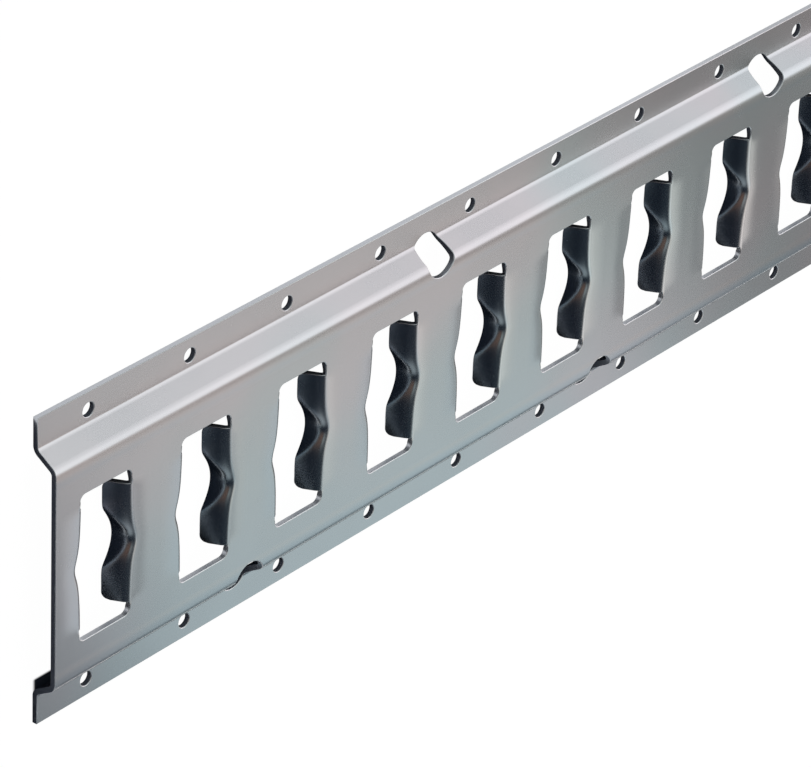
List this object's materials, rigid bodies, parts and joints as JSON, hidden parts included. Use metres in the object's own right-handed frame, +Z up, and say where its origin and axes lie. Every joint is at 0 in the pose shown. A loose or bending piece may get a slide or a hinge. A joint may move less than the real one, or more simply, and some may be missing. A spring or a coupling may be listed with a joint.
{
  "type": "slotted cargo rail",
  "caption": "Long pressed steel wall rail with a raised slotted face, two bent-back lips in each slot and flat screw flanges on both edges",
  "frame": {"origin": "middle of the rail on the floor side, at the backs of the flanges", "axes": "+X along the rail, +Y across it towards the picture's upper edge, +Z up out of the slotted face"},
  "size_m": [0.6082, 0.124, 0.0108],
  "materials": {
    "zinc_steel": "bright zinc plating on rolled sheet steel, satin"
  },
  "bodies": {
    "root": {"rail": "zinc_steel"}
  },
  "joints": []
}
